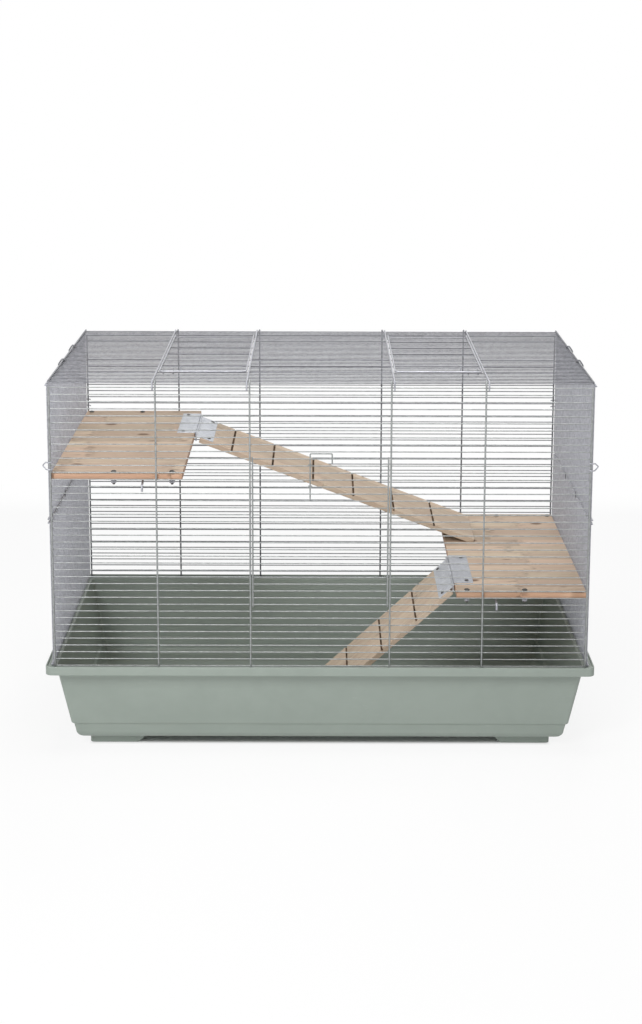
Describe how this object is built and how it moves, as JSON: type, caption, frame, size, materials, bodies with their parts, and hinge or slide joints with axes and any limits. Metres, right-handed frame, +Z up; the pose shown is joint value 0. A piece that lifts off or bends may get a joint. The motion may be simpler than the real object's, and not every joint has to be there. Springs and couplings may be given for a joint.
{
  "type": "rat cage",
  "caption": "Wire pet cage on a deep moulded tray, with a drop-down front door, lift-up roof doors, and wooden shelves joined by hinged wooden ramps.",
  "frame": {"origin": "middle of the cage on the surface it stands on, level with the underside of the feet", "axes": "+X to the right as seen from the front, -Y out through the front door, +Z up"},
  "size_m": [1, 0.545, 0.7096],
  "materials": {
    "wire": "bright zinc plate",
    "tray_plastic": "satin moulded, sage grey",
    "pine": "planed, unvarnished",
    "hinge_sheet": "galvanised",
    "fasteners": "zinc plate"
  },
  "bodies": {
    "tray": {"tray": "tray_plastic"},
    "cage_top": {"front_panel": "wire", "back_panel": "wire", "roof_panel": "wire", "left_lower_panel": "wire", "left_upper_panel": "wire", "right_lower_panel": "wire", "right_upper_panel": "wire", "left_panel_rings": "wire", "right_panel_rings": "wire", "front_corner_clips": "wire", "back_corner_clips": "wire", "upper_shelf": "pine", "upper_shelf_brackets": "wire", "upper_hinge_pin": "wire", "upper_shelf_leaf": "hinge_sheet", "upper_shelf_bolts": "fasteners", "upper_shelf_nuts": "fasteners", "upper_shelf_leaf_screws": "fasteners", "lower_shelf": "pine", "lower_shelf_brackets": "wire", "lower_hinge_pin": "wire", "lower_shelf_leaf": "hinge_sheet", "lower_shelf_bolts": "fasteners", "lower_shelf_nuts": "fasteners", "lower_shelf_leaf_screws": "fasteners"},
    "front_door": {"front_door": "wire"},
    "front_latch": {"front_latch": "wire"},
    "left_roof_door": {"left_roof_door": "wire"},
    "right_roof_door": {"right_roof_door": "wire"},
    "left_roof_latch": {"left_roof_latch": "wire"},
    "right_roof_latch": {"right_roof_latch": "wire"},
    "upper_ramp": {"upper_ramp": "pine", "upper_ramp_leaf": "hinge_sheet", "upper_ramp_leaf_screws": "fasteners"},
    "lower_ramp": {"lower_ramp": "pine", "lower_ramp_leaf": "hinge_sheet", "lower_ramp_leaf_screws": "fasteners"}
  },
  "joints": [
    {"name": "top_lift", "type": "slide", "parent": "tray", "child": "cage_top", "axis": [0, 0, 1], "range_m": [0, 0.25]},
    {"name": "front_door_hinge", "type": "hinge", "parent": "cage_top", "child": "front_door", "pos_m": [0, -0.2588, 0.28885], "axis": [1, 0, 0], "range_deg": [0, 140]},
    {"name": "front_latch_slide", "type": "slide", "parent": "front_door", "child": "front_latch", "axis": [0, 0, 1], "range_m": [0, 0.0065]},
    {"name": "left_roof_door_hinge", "type": "hinge", "parent": "cage_top", "child": "left_roof_door", "pos_m": [-0.2151, 0.19336, 0.6986], "axis": [-1, 0, 0], "range_deg": [0, 110]},
    {"name": "left_roof_latch_slide", "type": "slide", "parent": "left_roof_door", "child": "left_roof_latch", "axis": [-1, 0, 0], "range_m": [0, 0.008]},
    {"name": "right_roof_door_hinge", "type": "hinge", "parent": "cage_top", "child": "right_roof_door", "pos_m": [0.2151, 0.19336, 0.6986], "axis": [-1, 0, 0], "range_deg": [0, 110]},
    {"name": "right_roof_latch_slide", "type": "slide", "parent": "right_roof_door", "child": "right_roof_latch", "axis": [1, 0, 0], "range_m": [0, 0.008]},
    {"name": "upper_ramp_hinge", "type": "hinge", "parent": "cage_top", "child": "upper_ramp", "pos_m": [-0.24454, 0.142, 0.5284], "axis": [0, -1, 0], "range_deg": [0, 34]},
    {"name": "lower_ramp_hinge", "type": "hinge", "parent": "cage_top", "child": "lower_ramp", "pos_m": [0.24454, -0.12, 0.30825], "axis": [0, 1, 0], "range_deg": [0, 105]}
  ]
}
